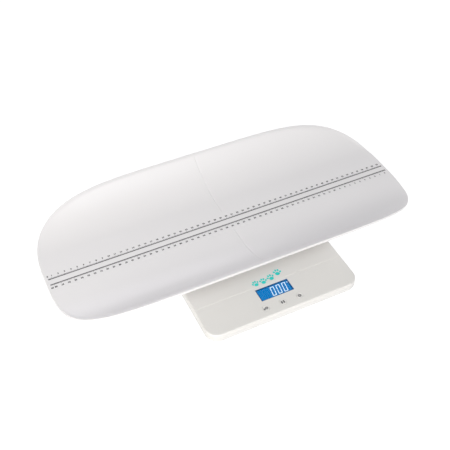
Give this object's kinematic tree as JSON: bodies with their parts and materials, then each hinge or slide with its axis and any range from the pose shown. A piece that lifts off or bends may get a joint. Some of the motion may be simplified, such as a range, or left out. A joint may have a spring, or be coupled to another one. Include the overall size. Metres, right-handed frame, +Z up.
{
  "type": "animal weighing scale",
  "caption": "Low electronic scale for small animals: flat base with a lit display and keys, and a long shallow trough tray with a ruler that lifts off.",
  "frame": {"origin": "on the floor, under the middle of the whole scale's box", "axes": "+X along the tray to the display reader's right, -Y towards the display side, +Z up"},
  "size_m": [0.602, 0.3314, 0.0665],
  "materials": {
    "tray_white": "smooth moulded, satin gloss",
    "ruler_print": "printed film",
    "base_white": "smooth moulded, satin gloss",
    "underside_white": "fine moulded grain",
    "window_clear": "polished clear window, tinted blue by the light behind it",
    "lcd_blue": "lit from behind",
    "frame_grey": "moulded",
    "contact_rubber": "soft",
    "backlight_white": "diffusing",
    "board_green": "solder mask",
    "screw_steel": "zinc plated",
    "chip_black": "moulded",
    "connector_ivory": "moulded",
    "key_white": "smooth moulded",
    "plunger_black": "moulded",
    "switch_grey": "moulded",
    "cell_steel": "stamped",
    "carrier_plastic": "moulded",
    "foot_plastic": "moulded",
    "foot_rubber": "soft, fine grain",
    "lead_grey": "sleeve",
    "grommet_rubber": "soft",
    "battery_case": "printed wrapper",
    "contact_metal": "nickel plated",
    "lead_red": "insulated wire"
  },
  "bodies": {
    "base": {"base_top_cover": "base_white", "base_bottom_cover": "underside_white", "display_window": "window_clear", "lcd_glass": "lcd_blue", "lcd_frame": "frame_grey", "contact_strip_rubber": "contact_rubber", "backlight_panel": "backlight_white", "main_board": "board_green", "board_screws": "screw_steel", "case_screws": "screw_steel", "main_chip": "chip_black", "lead_connector_left": "connector_ivory", "lead_connector_right": "connector_ivory", "switch_body_left": "switch_grey", "switch_body_middle": "switch_grey", "switch_body_right": "switch_grey", "load_cell_front_left": "cell_steel", "load_cell_front_right": "cell_steel", "load_cell_rear_left": "cell_steel", "load_cell_rear_right": "cell_steel", "cell_carrier_front_left": "carrier_plastic", "cell_carrier_front_right": "carrier_plastic", "cell_carrier_rear_left": "carrier_plastic", "cell_carrier_rear_right": "carrier_plastic", "foot_front_left": "foot_plastic", "foot_front_right": "foot_plastic", "foot_rear_left": "foot_plastic", "foot_rear_right": "foot_plastic", "foot_pad_front_left": "foot_rubber", "foot_pad_front_right": "foot_rubber", "foot_pad_rear_left": "foot_rubber", "foot_pad_rear_right": "foot_rubber", "cell_lead_front_left": "lead_grey", "cell_lead_front_right": "lead_grey", "cell_lead_rear_left": "lead_grey", "cell_lead_rear_right": "lead_grey", "tray_grommet_front_left": "grommet_rubber", "tray_grommet_front_right": "grommet_rubber", "tray_grommet_rear_left": "grommet_rubber", "tray_grommet_rear_right": "grommet_rubber", "battery_front": "battery_case", "battery_middle": "battery_case", "battery_rear": "battery_case", "battery_contacts_left": "contact_metal", "battery_contacts_right": "contact_metal", "battery_lead": "lead_red"},
    "tray": {"tray": "tray_white", "ruler_strip": "ruler_print"},
    "battery_door": {"battery_door": "underside_white"},
    "key_left": {"key_cap_left": "key_white", "switch_plunger_left": "plunger_black"},
    "key_middle": {"key_cap_middle": "key_white", "switch_plunger_middle": "plunger_black"},
    "key_right": {"key_cap_right": "key_white", "switch_plunger_right": "plunger_black"}
  },
  "joints": [
    {"name": "tray_lift", "type": "slide", "parent": "base", "child": "tray", "axis": [0, 0, 1], "range_m": [0, 0.12]},
    {"name": "key_left_press", "type": "slide", "parent": "base", "child": "key_left", "axis": [0, 0, -1], "range_m": [0, 0.0005], "stiffness_N_per_m": 2000, "springref_m": -0.0002},
    {"name": "key_middle_press", "type": "slide", "parent": "base", "child": "key_middle", "axis": [0, 0, -1], "range_m": [0, 0.0005], "stiffness_N_per_m": 2000, "springref_m": -0.0002},
    {"name": "key_right_press", "type": "slide", "parent": "base", "child": "key_right", "axis": [0, 0, -1], "range_m": [0, 0.0005], "stiffness_N_per_m": 2000, "springref_m": -0.0002},
    {"name": "battery_door_hinge", "type": "hinge", "parent": "base", "child": "battery_door", "pos_m": [0, -0.00205, 0.007], "axis": [-1, 0, 0], "range_deg": [0, 95]}
  ]
}
